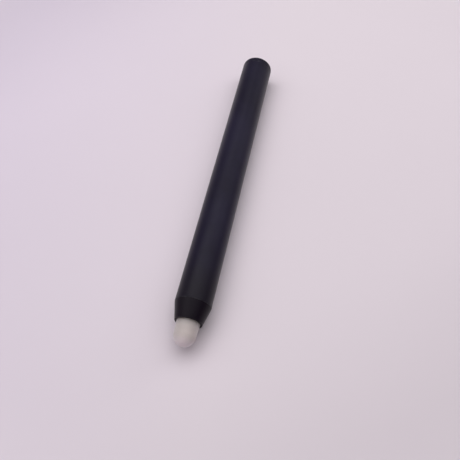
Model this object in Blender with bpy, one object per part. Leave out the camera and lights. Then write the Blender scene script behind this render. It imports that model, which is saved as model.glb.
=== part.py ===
"""Infrared light pen for an interactive whiteboard, with a pressure-switched diffusing tip.

A slim black anodised tube with a short conical nose and a milky domed tip.
Pressing the tip on a board pushes a plunger against a switch, which lights
the infrared LED inside the dome. Two AAA cells lie in line in the tube and
a coin-slotted screw cap closes the tail.

The pen lies on its side. +Y runs along the pen from tip to tail, +Z is up,
and the origin is on the surface it lies on, below the middle of its length.
Every piece is modelled in the pen's own axis frame: local y is the distance
from the apex of the tip, and local x = z = 0 is the pen's axis.
Units: metres. The driving dimensions below are in millimetres.
"""

from math import asin, cos, degrees, pi, radians, sin, tau

import bmesh
import bpy
from mathutils import Matrix, Vector

MM = 0.001

# ---------------------------------------------------------------- dimensions
LENGTH = 148.0          # apex of the tip to the tail face
BODY_R = 7.0            # outside of barrel and cap, across the flats of the facets
SEGS = 48               # facets round the outside, one of them flat on the table
FINE = 32               # facets round small turned pieces
BODY_V = BODY_R / cos(pi / SEGS)        # the same, to the corners of the facets

TIP_PROUD = 9.0         # tip standing out of the nose at rest
TIP_R = 4.4             # shank of the tip
DOME_R, DOME_LEN = 4.15, 4.4            # where the taper ends and the round end begins
TIP_TRAVEL = 0.6        # stroke of the tip
NOSE_END_R = 5.2        # small end of the cone
NOSE_LEN = 7.1          # length of the cone
NOSE_BORE_R = 4.5
NOSE_SEAT_R = 5.1       # counterbore behind the lip
CONE_BASE = TIP_PROUD + NOSE_LEN        # 16.1
SPIGOT_R, SPIGOT_END = 6.20, 21.00      # nose inside the barrel, bonded
SOCKET_R = 6.30

PITCH = 1.25            # right-hand thread of the tail cap
MALE_MINOR, MALE_MAJOR = 5.75, 6.25
FEMALE_MINOR, FEMALE_MAJOR = 5.87, 6.37
TOOTH_CREST, TOOTH_BASE = 0.125, 0.375  # half widths of the male tooth
FLANK_GAP = 0.10        # axial play on each flank

BARREL_BORE_R = 5.45    # round the cells
MODULE_BORE_R = 5.80    # round the electronics module
MODULE_R = 5.70
SHOULDER = 48.15        # step the module seats against
CAP_HEAD = 2.5          # visible length of the tail cap
CAP_FACE = LENGTH - CAP_HEAD            # 145.5
STEM = CAP_FACE - 5.3                   # front of the cap's threaded stem

CELL_R, CELL_LEN = 5.2, 44.5            # AAA
CELL_1 = SHOULDER + 0.40
CELL_2 = CELL_1 + CELL_LEN + 0.05

LED_R, LED_FLANGE_R = 2.5, 2.9          # 5 mm LED
LED_TOP, LED_BACK = 5.8, 14.4
LEAD_X = 1.27

PCB_TOP, PCB_THICK, PCB_HALF = -0.30, 0.80, 5.20
AXIS_Z = BODY_R                         # a facet rests on z = 0

# ---------------------------------------------------------------- clean scene
for old in list(bpy.data.objects):
    bpy.data.objects.remove(old, do_unlink=True)

scene = bpy.context.scene
scene.unit_settings.system = "METRIC"
scene.unit_settings.scale_length = 1.0


# ---------------------------------------------------------------- materials
def material(name, colour, roughness, metallic=0.0, transmission=0.0):
    mat = bpy.data.materials.new(name)
    mat.use_nodes = True
    shader = mat.node_tree.nodes["Principled BSDF"]
    shader.inputs["Base Color"].default_value = (*colour, 1.0)
    shader.inputs["Roughness"].default_value = roughness
    shader.inputs["Metallic"].default_value = metallic
    shader.inputs["Transmission Weight"].default_value = transmission
    mat.diffuse_color = (*colour, 1.0)
    return mat


BLACK_METAL = material("black_anodised", (0.022, 0.022, 0.026), 0.48, 0.0)
MILKY = material("milky_diffuser", (0.62, 0.60, 0.56), 0.35, 0.0, 0.2)
BLACK_PLASTIC = material("black_moulding", (0.03, 0.03, 0.03), 0.55)
GREY_PLASTIC = material("grey_moulding", (0.25, 0.25, 0.26), 0.5)
STEEL = material("spring_steel", (0.62, 0.62, 0.64), 0.3, 1.0)
BRASS = material("contact_brass", (0.78, 0.60, 0.28), 0.35, 1.0)
EPOXY = material("led_epoxy", (0.55, 0.60, 0.75), 0.08, 0.0, 0.8)
TINNED = material("tinned_lead", (0.72, 0.72, 0.72), 0.3, 1.0)
FR4 = material("board_green", (0.03, 0.18, 0.08), 0.45)
CHIP = material("chip_black", (0.02, 0.02, 0.02), 0.5)
CHIP_TAN = material("chip_tan", (0.45, 0.33, 0.20), 0.5)
CELL = material("cell_jacket", (0.10, 0.14, 0.22), 0.35)
RUBBER = material("seal_rubber", (0.02, 0.02, 0.02), 0.7)


# ---------------------------------------------------------------- frame
def empty(name, parent=None, location=(0, 0, 0)):
    obj = bpy.data.objects.new(name, None)
    obj.empty_display_size = 0.01
    scene.collection.objects.link(obj)
    obj.parent = parent
    obj.location = location
    return obj


# The pen's axis, with its zero at the apex of the tip. The joints of the tip,
# the switch and the tail cap all act along this axis.
pen = empty("pen_axis", None, (0, -LENGTH / 2 * MM, AXIS_Z * MM))
tip_group = empty("tip_group", pen)
button_group = empty("button_group", pen)
seal_group = empty("seal_group", pen)
cap_group = empty("cap_group", pen)


def place(obj, mat, parent=pen, smooth=True):
    scene.collection.objects.link(obj)
    obj.parent = parent
    obj.data.materials.append(mat)
    if smooth and obj.type == "MESH":
        obj.data.shade_smooth()
        obj.data.set_sharp_from_angle(angle=radians(35))
    return obj


def finish(name, bm, mat, parent=pen, smooth=True):
    bmesh.ops.recalc_face_normals(bm, faces=bm.faces)
    mesh = bpy.data.meshes.new(name)
    bm.to_mesh(mesh)
    bm.free()
    return place(bpy.data.objects.new(name, mesh), mat, parent, smooth)


def helper(obj):
    """A cutter or an added shape, used by a Boolean and left out of the model."""
    obj.hide_render = True
    obj.display_type = "WIRE"
    return obj


def boolean(obj, other, operation):
    helper(other)
    mod = obj.modifiers.new(other.name, "BOOLEAN")
    mod.operation = operation
    mod.object = other
    mod.solver = "EXACT"


# ---------------------------------------------------------------- shapes
def ring_point(s, r, angle):
    """Angle is measured about +Y, from straight up."""
    return Vector((r * sin(angle), s, r * cos(angle))) * MM


def column_angle(i, segs):
    """Columns straddle the lowest line, so that a facet lies flat."""
    return pi + (i + 0.5) * tau / segs


def lathe_into(bm, loop, segs, skip=()):
    """Spins a closed (s, r) outline about the axis. Edges in skip stay open."""
    verts = [bm.verts.new(ring_point(s, r, column_angle(0, segs))) for s, r in loop]
    edges = []
    for i in range(len(loop)):
        j = (i + 1) % len(loop)
        on_axis = loop[i][1] == 0 and loop[j][1] == 0
        if i not in skip and not on_axis:
            edges.append(bm.edges.new((verts[i], verts[j])))
    bmesh.ops.spin(
        bm, geom=verts + edges, cent=(0, 0, 0), axis=(0, 1, 0), angle=tau,
        steps=segs, use_merge=True, use_duplicate=False,
    )
    bmesh.ops.remove_doubles(bm, verts=bm.verts, dist=1e-7)
    for v in [v for v in bm.verts if not v.link_faces]:
        bm.verts.remove(v)


def lathe(name, loop, mat, segs=FINE, parent=pen):
    bm = bmesh.new()
    lathe_into(bm, loop, segs)
    return finish(name, bm, mat, parent)


def thread_into(bm, s0, s1, base_r, height, marks, s_ref, segs, lead=0.6):
    """A right-hand helical ridge on the cylinder base_r between s0 and s1.

    marks are the four corners of the ridge along the axis, from its middle, in
    millimetres. height is outward when positive, and the ridge runs out to
    nothing at both ends, where the surface meets plain rings of base_r.
    """
    made = {}

    def vertex(column, row):
        turn, corner = divmod(row, 4)
        angle = column_angle(column, segs)
        along = s_ref + PITCH * (turn + column / segs) + marks[corner]
        s = min(max(along, s0), s1)
        fade = min(1.0, (s - s0) / lead, (s1 - s) / lead)
        r = base_r + height * max(0.0, fade) * (1.0 if corner in (1, 2) else 0.0)
        point = ring_point(s, r, angle)
        key = tuple(round(c, 8) for c in point)
        if key not in made:
            made[key] = bm.verts.new(point)
        return made[key]

    first = 4 * int((s0 - s_ref) / PITCH - 3)
    last = 4 * int((s1 - s_ref) / PITCH + 3)
    for i in range(segs):
        for row in range(first, last):
            corners = [vertex(i, row), vertex(i + 1, row),
                       vertex(i + 1, row + 1), vertex(i, row + 1)]
            unique = list(dict.fromkeys(corners))
            if len(unique) > 2:
                bm.faces.new(unique)
    bmesh.ops.remove_doubles(bm, verts=bm.verts, dist=1e-7)


MALE_MARKS = (-TOOTH_BASE, -TOOTH_CREST, TOOTH_CREST, TOOTH_BASE)
# The female ridge fills the space between turns of the male tooth.
_half = PITCH / 2
FEMALE_MARKS = (
    _half - (_half - TOOTH_CREST - FLANK_GAP),
    _half - (_half - TOOTH_BASE - FLANK_GAP),
    _half + (_half - TOOTH_BASE - FLANK_GAP),
    _half + (_half - TOOTH_CREST - FLANK_GAP),
)


def turned_with_threads(name, loop, threads, mat, segs, parent=pen):
    """A turned piece in which some straight edges of the outline are threaded.

    threads maps an outline edge's index to (height, marks, s_ref).
    """
    bm = bmesh.new()
    lathe_into(bm, loop, segs, skip=set(threads))
    for i, (height, marks, s_ref) in threads.items():
        (sa, ra), (sb, _) = loop[i], loop[(i + 1) % len(loop)]
        thread_into(bm, min(sa, sb), max(sa, sb), ra, height, marks, s_ref, segs)
    return finish(name, bm, mat, parent)


def box(name, x, s, z, mat, parent=pen, bevel=0.0):
    bm = bmesh.new()
    bmesh.ops.create_cube(bm, size=1.0)
    size = Vector((x[1] - x[0], s[1] - s[0], z[1] - z[0])) * MM
    middle = Vector((x[0] + x[1], s[0] + s[1], z[0] + z[1])) * (MM / 2)
    bmesh.ops.transform(
        bm, verts=bm.verts, matrix=Matrix.Translation(middle) @ Matrix.Diagonal((*size, 1))
    )
    if bevel:
        bmesh.ops.bevel(
            bm, geom=list(bm.edges), offset=bevel * MM, segments=1, affect="EDGES"
        )
    return finish(name, bm, mat, parent, smooth=False)


def prism(name, outline, s0, s1, mat, parent=pen):
    """Extrudes a closed (x, z) outline along the pen."""
    bm = bmesh.new()
    face = bm.faces.new([bm.verts.new(Vector((x, s0, z)) * MM) for x, z in outline])
    out = bmesh.ops.extrude_face_region(bm, geom=[face])
    top = [g for g in out["geom"] if isinstance(g, bmesh.types.BMVert)]
    bmesh.ops.translate(bm, verts=top, vec=(0, (s1 - s0) * MM, 0))
    return finish(name, bm, mat, parent)


def arc(r, a0, a1, steps):
    """Points (x, z) on a circle about the axis. Angles in degrees from +X."""
    return [
        (r * cos(radians(a0 + (a1 - a0) * k / steps)),
         r * sin(radians(a0 + (a1 - a0) * k / steps)))
        for k in range(steps + 1)
    ]


def wire(name, points, radius, mat, parent=pen, resolution=2):
    """A round wire along points given as (x, s, z) in millimetres."""
    curve = bpy.data.curves.new(name, "CURVE")
    curve.dimensions = "3D"
    curve.bevel_depth = radius * MM
    curve.bevel_resolution = resolution
    curve.use_fill_caps = True
    curve.twist_mode = "MINIMUM"
    spline = curve.splines.new("POLY")
    spline.points.add(len(points) - 1)
    for p, co in zip(spline.points, points):
        p.co = (co[0] * MM, co[1] * MM, co[2] * MM, 1.0)
    obj = bpy.data.objects.new(name, curve)
    return place(obj, mat, parent, smooth=False)


# ================================================================ outer pieces
# Barrel: plain tube with a socket for the nose, a step that locates the
# electronics module, and a thread and a counterbore for the cap and its seal.
FRONT = CONE_BASE + 0.05
REAR = CAP_FACE - 0.05
SEAL_BORE_R = 6.50
THREAD_END = CAP_FACE - 1.65
THREAD_REF = CAP_FACE - 3.5
barrel_loop = [
    (FRONT, BODY_V - 0.12), (FRONT + 0.12, BODY_V),
    (REAR - 0.12, BODY_V), (REAR, BODY_V - 0.12),
    (REAR, SEAL_BORE_R), (THREAD_END + 0.10, SEAL_BORE_R),
    (THREAD_END, FEMALE_MAJOR), (THREAD_END - 3 * PITCH, FEMALE_MAJOR),  # thread
    (THREAD_END - 3 * PITCH - 0.2, FEMALE_MAJOR),
    (THREAD_END - 3 * PITCH - 0.2, BARREL_BORE_R),
    (SHOULDER, BARREL_BORE_R), (SHOULDER, MODULE_BORE_R),
    (SPIGOT_END + 0.45, MODULE_BORE_R), (SPIGOT_END + 0.45, SOCKET_R),
    (FRONT, SOCKET_R),
]
RIDGE = -(FEMALE_MAJOR - FEMALE_MINOR)
TOOTH = MALE_MAJOR - MALE_MINOR
turned_with_threads(
    "barrel", barrel_loop, {6: (RIDGE, FEMALE_MARKS, THREAD_REF)}, BLACK_METAL, SEGS
)

# Nose cone: the taper in front of the barrel. Its lip holds the tip's flange,
# and its spigot is bonded in the barrel's socket.
nose_loop = [
    (TIP_PROUD, NOSE_BORE_R + 0.10), (TIP_PROUD, NOSE_END_R - 0.12),
    (TIP_PROUD + 0.12, NOSE_END_R), (CONE_BASE - 0.10, BODY_V - 0.05),
    (CONE_BASE, BODY_V - 0.10), (CONE_BASE, SPIGOT_R),
    (SPIGOT_END - 0.15, SPIGOT_R), (SPIGOT_END, SPIGOT_R - 0.15),
    (SPIGOT_END, NOSE_SEAT_R), (10.55, NOSE_SEAT_R),
    (10.55, NOSE_BORE_R), (TIP_PROUD + 0.10, NOSE_BORE_R),
]
lathe("nose_cone", nose_loop, BLACK_METAL, SEGS)

# Diffusing tip: a domed cap over the LED, with a flange behind the nose's lip.
dome = [
    (DOME_LEN - DOME_LEN * cos(a), DOME_R * sin(a)) for a in (pi / 2 * k / 9 for k in range(10))
]
dome[0] = (0.0, 0.0)
well_r, well_end = 2.80, 4.70
well = [
    (well_end + well_r - well_r * sin(a), well_r * cos(a))
    for a in (pi / 2 * k / 5 for k in range(6))
]
well[-1] = (well_end, 0.0)
lathe(
    "diffuser_tip",
    dome + [(TIP_PROUD + 0.2, TIP_R), (10.60, TIP_R), (10.60, 4.95), (11.85, 4.95),
            (11.85, well_r)] + well,
    MILKY, 40, tip_group,
)

# Tail cap: screws into the barrel. Its end face is flat, with a coin slot.
GROOVE = (CAP_FACE - 1.45, CAP_FACE - 0.25)
GROOVE_R, POCKET_R, POCKET_END = 5.30, 4.40, CAP_FACE - 0.10
cap_loop = [
    (STEM, MALE_MINOR - 0.15), (STEM + 0.15, MALE_MINOR),
    (GROOVE[0], MALE_MINOR),                             # edge 1: thread
    (GROOVE[0], GROOVE_R), (GROOVE[1], GROOVE_R), (GROOVE[1], 5.85), (CAP_FACE, 5.85),
    (CAP_FACE, BODY_V - 0.12), (CAP_FACE + 0.12, BODY_V),
    (LENGTH - 0.45, BODY_V), (LENGTH - 0.13, BODY_V - 0.13), (LENGTH, BODY_V - 0.45),
    (LENGTH, 0.0), (POCKET_END, 0.0), (POCKET_END, POCKET_R), (STEM, POCKET_R),
]
tail_cap = turned_with_threads(
    "tail_cap", cap_loop, {1: (TOOTH, MALE_MARKS, THREAD_REF)}, BLACK_METAL, SEGS, cap_group
)
SLOT_HALF, SLOT_R, SLOT_DEEP = 4.4, 0.65, 0.9
slot_outline = (
    [(SLOT_HALF + SLOT_R * cos(a), SLOT_R * sin(a)) for a in (radians(-90 + 36 * k) for k in range(6))]
    + [(-SLOT_HALF + SLOT_R * cos(a), SLOT_R * sin(a)) for a in (radians(90 + 36 * k) for k in range(6))]
)
boolean(
    tail_cap,
    prism("coin_slot_cutter", slot_outline, LENGTH - SLOT_DEEP, LENGTH + 1, BLACK_METAL, cap_group),
    "DIFFERENCE",
)

# Seal in the cap's groove. It slides with the cap and does not turn with it.
SEAL_R, SEAL_WIRE = 5.88, 0.52
lathe(
    "tail_o_ring",
    [((GROOVE[0] + GROOVE[1]) / 2 + SEAL_WIRE * cos(tau * k / 8),
      SEAL_R + SEAL_WIRE * sin(tau * k / 8)) for k in range(8)],
    RUBBER, 40, seal_group,
)


# ================================================================ tip mechanism
# Plunger: a ring behind the tip's flange, with an arm to the switch.
plunger = lathe(
    "tip_plunger", [(11.90, 3.10), (11.90, 4.85), (13.10, 4.85), (13.10, 3.10)],
    BLACK_PLASTIC, 40, tip_group,
)
PAD_BACK = 24.85
boolean(plunger, box("plunger_arm", (-1.2, 1.2), (12.4, PAD_BACK - 0.1), (3.97, 4.70),
                     BLACK_PLASTIC, tip_group), "UNION")
boolean(plunger, box("plunger_pad", (-1.05, 1.05), (PAD_BACK - 1.2, PAD_BACK), (0.90, 4.45),
                     BLACK_PLASTIC, tip_group), "UNION")


def spring_path(turns, per_turn, s_of, r_of, start=0.0):
    n = int(turns * per_turn)
    out = []
    for k in range(n + 1):
        t = k / n
        angle = start + tau * turns * t
        out.append((r_of(t) * sin(angle), s_of(t), r_of(t) * cos(angle)))
    return out


def closed_ends(turns, s0, s1, wire_d):
    """Distance along a compression spring whose first and last turns lie closed."""
    closed = 1.0 / turns
    rise = wire_d * 1.15

    def s_of(t):
        if t < closed:
            return s0 + rise * t / closed
        if t > 1 - closed:
            return s1 - rise * (1 - t) / closed
        return s0 + rise + (s1 - s0 - 2 * rise) * (t - closed) / (1 - 2 * closed)

    return s_of


# Return spring, between the plunger and the chassis.
TIP_WIRE = 0.20
wire(
    "tip_spring",
    spring_path(6.5, 12, closed_ends(6.5, 13.15 + TIP_WIRE, 21.35 - TIP_WIRE, 2 * TIP_WIRE),
                lambda t: 3.55, start=radians(200)),
    TIP_WIRE, STEEL, pen, 1,
)

# Negative contact spring in the tail cap, tapering towards the rear cell.
TAIL_WIRE = 0.28
wire(
    "tail_spring",
    spring_path(5.5, 12, closed_ends(5.5, CELL_2 + CELL_LEN + 0.05 + TAIL_WIRE,
                                     POCKET_END - 0.05 - TAIL_WIRE, 2 * TAIL_WIRE),
                lambda t: 2.0 + 2.0 * min(1.0, max(0.0, (t - 0.1) / 0.7))),
    TAIL_WIRE, STEEL, cap_group, 1,
)


# ================================================================ electronics
# Chassis: a stem that carries the LED, a disc that the nose clamps, a trough
# for the board and a bulkhead for the positive contact.
DISC, TROUGH_0, TROUGH_1, BULKHEAD = 21.40, 22.65, SHOULDER - 1.50, SHOULDER - 0.10
STEM_FACE = LED_BACK + 0.05
chassis = lathe(
    "chassis",
    [(STEM_FACE, 0.0), (STEM_FACE, 3.15), (DISC, 3.15), (DISC, MODULE_R),
     (BULKHEAD, MODULE_R), (BULKHEAD, 0.0)],
    GREY_PLASTIC, 40,
)
TROUGH_R, RIM_Z = 4.90, PCB_TOP - PCB_THICK - 0.05
rim_angle = asin(-RIM_Z / TROUGH_R)
trough_arc = arc(TROUGH_R, 180 + degrees(rim_angle), 360 - degrees(rim_angle), 16)
boolean(
    chassis,
    prism("trough_cutter",
          [(-7.0, RIM_Z)] + trough_arc + [(7.0, RIM_Z), (7.0, 7.0), (-7.0, 7.0)],
          TROUGH_0, TROUGH_1, GREY_PLASTIC),
    "DIFFERENCE",
)
boolean(chassis, box("arm_notch_cutter", (-1.6, 1.6), (21.0, 23.0), (3.70, 7.0), GREY_PLASTIC),
        "DIFFERENCE")
boolean(chassis, box("tab_notch_cutter", (4.05, 7.0), (21.0, 23.0), (-0.45, 0.40), GREY_PLASTIC),
        "DIFFERENCE")
for side, label in ((-1, "anode"), (1, "cathode")):
    hole = [(side * LEAD_X + 0.42 * cos(tau * k / 12), 0.42 * sin(tau * k / 12)) for k in range(12)]
    boolean(chassis, prism(label + "_hole_cutter", hole, 14.0, 23.2, GREY_PLASTIC), "DIFFERENCE")
contact_hole = [(1.10 * cos(tau * k / 20), 1.10 * sin(tau * k / 20)) for k in range(20)]
boolean(chassis, prism("contact_hole_cutter", contact_hole, TROUGH_1 - 0.3, BULKHEAD + 0.3, GREY_PLASTIC), "DIFFERENCE")

# Cover: closes the trough from above and holds the board down by its edges.
COVER_Z = PCB_TOP + 0.05
outer_angle, inner_angle = degrees(asin(COVER_Z / MODULE_R)), degrees(asin(COVER_Z / TROUGH_R))
prism(
    "chassis_cover",
    arc(MODULE_R, outer_angle, 180 - outer_angle, 20)
    + arc(TROUGH_R, 180 - inner_angle, inner_angle, 16),
    TROUGH_0 + 0.05, TROUGH_1 - 0.05, GREY_PLASTIC,
)

# Ground ring: an open ring that the nose clamps, with a tab on to the board.
ring_outline = arc(5.65, 112, 428, 24) + arc(4.20, 428, 112, 24)
ground = prism("ground_ring", ring_outline, 21.05, 21.30, BRASS)
boolean(ground, box("ground_tab", (4.22, 4.75), (21.1, 25.2), (PCB_TOP + 0.05, 0.15), BRASS), "UNION")

# Board and what is on it.
BOARD = (TROUGH_0 + 0.30, TROUGH_1 - 1.70)
box("circuit_board", (-PCB_HALF, PCB_HALF), BOARD, (PCB_TOP - PCB_THICK, PCB_TOP), FR4)
ON = PCB_TOP + 0.05

switch = box("switch_body", (-2.2, 2.2), (26.2, 29.6), (ON, 2.90), CHIP, bevel=0.12)
boolean(switch, box("switch_hole_cutter", (-0.95, 0.95), (25.5, 27.8), (0.75, 2.15), CHIP), "DIFFERENCE")
box("switch_button", (-0.80, 0.80), (PAD_BACK + 0.05, 27.05), (0.90, 2.00), BLACK_PLASTIC,
    button_group, bevel=0.08)

box("resistor", (1.9, 3.15), (31.6, 33.6), (ON, ON + 0.5), CHIP, bevel=0.05)
box("capacitor", (-3.15, -1.9), (31.6, 33.6), (ON, ON + 0.85), CHIP_TAN, bevel=0.06)
transistor = box("transistor", (-1.45, 1.45), (36.2, 37.5), (ON + 0.10, ON + 1.1), CHIP, bevel=0.08)
for label, x, s in (("leg_a", -0.95, (35.6, 36.5)), ("leg_b", 0.95, (35.6, 36.5)), ("leg_c", 0.0, (37.2, 38.1))):
    boolean(transistor, box("transistor_" + label, (x - 0.2, x + 0.2), s, (ON, ON + 0.28), TINNED), "UNION")

# LED: a 5 mm lamp whose lens stands inside the tip, on the end of the stem.
led_dome = [
    (LED_TOP + LED_R - LED_R * cos(a), LED_R * sin(a)) for a in (pi / 2 * k / 8 for k in range(9))
]
led_dome[0] = (LED_TOP, 0.0)
lathe(
    "ir_led",
    led_dome + [(LED_BACK - 1.0, LED_R), (LED_BACK - 1.0, LED_FLANGE_R),
                (LED_BACK, LED_FLANGE_R), (LED_BACK, 0.0)],
    EPOXY, 32,
)
for side, label in ((-1, "anode"), (1, "cathode")):
    box("led_lead_" + label, (side * LEAD_X - 0.25, side * LEAD_X + 0.25),
        (STEM_FACE, 25.6), (-0.25, 0.25), TINNED)

# Positive contact: a rivet through the bulkhead with a foot on the board.
RIVET = TROUGH_1 - 1.45
contact = lathe(
    "positive_contact",
    [(RIVET, 0.0), (RIVET, 1.0), (BULKHEAD + 0.07, 1.0), (BULKHEAD + 0.07, 2.0),
     (SHOULDER + 0.20, 2.0), (SHOULDER + 0.35, 1.6), (SHOULDER + 0.35, 0.0)],
    BRASS, 24,
)
boolean(contact, box("contact_foot", (-0.7, 0.7), (RIVET - 1.9, RIVET + 0.5), (ON, 0.25), BRASS), "UNION")


# ================================================================ cells
def cell(name, s):
    """An AAA cell, positive end towards the tip."""
    return lathe(
        name,
        [
            (s, 0.0), (s, 1.65), (s + 0.15, 1.80), (s + 0.95, 1.85),
            (s + 0.95, 4.85), (s + 1.25, CELL_R),
            (s + CELL_LEN - 0.45, CELL_R), (s + CELL_LEN - 0.15, 4.90),
            (s + CELL_LEN - 0.15, 4.10), (s + CELL_LEN, 3.80), (s + CELL_LEN, 0.0),
        ],
        CELL, 40,
    )


cell("cell_front", CELL_1)
cell("cell_rear", CELL_2)
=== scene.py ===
"""Looks of the infrared light pen: fine meshes, materials, floor, light and camera.

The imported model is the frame. Every piece is made in the pen's own measure:
s is the distance in millimetres from the apex of the tip along the axis, and
x and z are millimetres from the axis. to_row() turns that into the row frame.
"""

from math import asin, atan2, ceil, cos, degrees, pi, radians, sin, sqrt, tan, tau

import bmesh
import bpy
from mathutils import Matrix, Vector


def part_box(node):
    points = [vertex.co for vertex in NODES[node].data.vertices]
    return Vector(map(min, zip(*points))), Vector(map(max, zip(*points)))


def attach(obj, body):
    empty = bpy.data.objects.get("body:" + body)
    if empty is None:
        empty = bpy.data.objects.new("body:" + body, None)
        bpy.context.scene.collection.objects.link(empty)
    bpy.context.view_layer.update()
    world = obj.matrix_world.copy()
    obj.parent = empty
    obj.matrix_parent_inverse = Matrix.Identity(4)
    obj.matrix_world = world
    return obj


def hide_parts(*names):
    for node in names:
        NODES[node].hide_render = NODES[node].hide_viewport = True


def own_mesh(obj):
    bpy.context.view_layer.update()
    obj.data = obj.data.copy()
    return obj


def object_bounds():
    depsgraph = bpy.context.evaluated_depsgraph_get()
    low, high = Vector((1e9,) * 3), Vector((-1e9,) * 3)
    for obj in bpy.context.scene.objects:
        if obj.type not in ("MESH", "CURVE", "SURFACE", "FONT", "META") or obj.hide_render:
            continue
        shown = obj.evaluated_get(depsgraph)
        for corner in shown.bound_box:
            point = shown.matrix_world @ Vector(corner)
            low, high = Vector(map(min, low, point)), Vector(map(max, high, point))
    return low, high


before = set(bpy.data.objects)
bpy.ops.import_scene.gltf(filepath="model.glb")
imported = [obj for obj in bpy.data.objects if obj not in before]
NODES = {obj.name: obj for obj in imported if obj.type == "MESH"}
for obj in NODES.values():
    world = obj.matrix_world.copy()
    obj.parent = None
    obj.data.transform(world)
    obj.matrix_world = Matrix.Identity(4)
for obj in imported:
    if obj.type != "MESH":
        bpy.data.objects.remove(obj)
CAD_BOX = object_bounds()

MM = 0.001
APEX_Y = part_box("diffuser_tip")[0].y
TAIL_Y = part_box("tail_cap")[1].y
AXIS_Z = (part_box("barrel")[0].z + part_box("barrel")[1].z) / 2
LENGTH = (TAIL_Y - APEX_Y) / MM

scene = bpy.context.scene


def at(node, end):
    """Where a CAD node begins (0) or ends (1) along the pen, in millimetres from the apex."""
    return (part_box(node)[end].y - APEX_Y) / MM


# Sizes, read from the frame.
NOSE_FRONT = at("nose_cone", 0)
NOSE_BACK = at("nose_cone", 1)
BARREL_FRONT = at("barrel", 0)
BARREL_REAR = at("barrel", 1)
CAP_FRONT = at("tail_cap", 0)
CONE_BASE = BARREL_FRONT - 0.05
CAP_FACE = BARREL_REAR + 0.05
BODY_R = (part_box("barrel")[1].x) / MM - 0.004


# ================================================================ mesh tools
def to_row(x, s, z):
    return Vector((x * MM, APEX_Y + s * MM, AXIS_Z + z * MM))


def ring_point(s, r, angle):
    return to_row(r * sin(angle), s, r * cos(angle))


def column(i, segs):
    return pi + (i + 0.5) * tau / segs


def rounded(points, step=15.0, closed=True):
    """Rounds the corners of an (a, b, radius) outline. A corner with no radius stays sharp."""
    out, n = [], len(points)
    for i, p in enumerate(points):
        b = Vector(p[:2])
        rad = p[2] if len(p) > 2 else 0.0
        if rad <= 0 or (not closed and i in (0, n - 1)):
            out.append((p[0], p[1]))
            continue
        a, c = Vector(points[i - 1][:2]), Vector(points[(i + 1) % n][:2])
        u, w = (a - b).normalized(), (c - b).normalized()
        half = u.angle(w) / 2
        if half > radians(89.5):
            out.append((p[0], p[1]))
            continue
        t = min(rad / tan(half), 0.48 * (a - b).length, 0.48 * (c - b).length)
        rad = t * tan(half)
        mid = b + (u + w).normalized() * (rad / sin(half))
        p0, p1 = b + u * t - mid, b + w * t - mid
        a0 = atan2(p0.y, p0.x)
        turn = (atan2(p1.y, p1.x) - a0 + pi) % tau - pi
        steps = max(2, int(ceil(abs(turn) / radians(step))))
        for k in range(steps + 1):
            q = a0 + turn * k / steps
            out.append((mid.x + rad * cos(q), mid.y + rad * sin(q)))
    return out


def densify(loop, longest):
    """Adds points on long straight stretches, so that shading and subdivision stay even."""
    out = []
    for i, p in enumerate(loop):
        q = loop[(i + 1) % len(loop)]
        out.append(p)
        d = sqrt((p[0] - q[0]) ** 2 + (p[1] - q[1]) ** 2)
        if p[1] == 0 and q[1] == 0:
            continue
        for k in range(1, int(ceil(d / longest))):
            t = k / ceil(d / longest)
            out.append((p[0] + (q[0] - p[0]) * t, p[1] + (q[1] - p[1]) * t))
    return out


def lathe_into(bm, loop, segs, skip=()):
    """Turns a closed (s, r) outline about the axis. Edges whose start is in skip stay open."""
    rings = []
    for s, r in loop:
        if abs(r) < 1e-9:
            v = bm.verts.new(to_row(0, s, 0))
            rings.append([v] * segs)
        else:
            rings.append([bm.verts.new(ring_point(s, r, column(i, segs))) for i in range(segs)])
    for k in range(len(loop)):
        a, b = rings[k], rings[(k + 1) % len(loop)]
        if k in skip or (a[0] is a[1] and b[0] is b[1]):
            continue
        for i in range(segs):
            j = (i + 1) % segs
            corners = list(dict.fromkeys((a[i], a[j], b[j], b[i])))
            if len(corners) > 2:
                bm.faces.new(corners)


def thread_into(bm, s0, s1, base_r, height, profile, pitch, s_ref, segs, lead=0.6):
    """A right-hand helical ridge. profile is a list of (along, share of height) over one pitch."""
    made, n = {}, len(profile)

    def vertex(col, row):
        turn, corner = divmod(row, n)
        along, share = profile[corner]
        s = s_ref + pitch * (turn + col / segs) + along
        s = min(max(s, s0), s1)
        fade = max(0.0, min(1.0, (s - s0) / lead, (s1 - s) / lead))
        fade = fade * fade * (3 - 2 * fade)
        point = ring_point(s, base_r + height * fade * share, column(col, segs))
        key = tuple(round(c, 8) for c in point)
        if key not in made:
            made[key] = bm.verts.new(point)
        return made[key]

    first = n * int((s0 - s_ref) / pitch - 3)
    last = n * int((s1 - s_ref) / pitch + 3)
    for i in range(segs):
        for row in range(first, last):
            corners = list(dict.fromkeys(
                (vertex(i, row), vertex(i + 1, row), vertex(i + 1, row + 1), vertex(i, row + 1))
            ))
            if len(corners) > 2:
                bm.faces.new(corners)


def finish_mesh(name, bm, sharp=38.0, weighted=True):
    bmesh.ops.remove_doubles(bm, verts=bm.verts, dist=2e-7)
    loose = [v for v in bm.verts if not v.link_faces]
    bmesh.ops.delete(bm, geom=loose, context="VERTS")
    bmesh.ops.recalc_face_normals(bm, faces=bm.faces)
    mesh = bpy.data.meshes.new(name)
    bm.to_mesh(mesh)
    bm.free()
    mesh.shade_smooth()
    mesh.set_sharp_from_angle(angle=radians(sharp))
    obj = bpy.data.objects.new(name, mesh)
    scene.collection.objects.link(obj)
    if weighted:
        mod = obj.modifiers.new("weighted_normals", "WEIGHTED_NORMAL")
        mod.keep_sharp = True
        mod.weight = 60
    return obj


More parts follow.
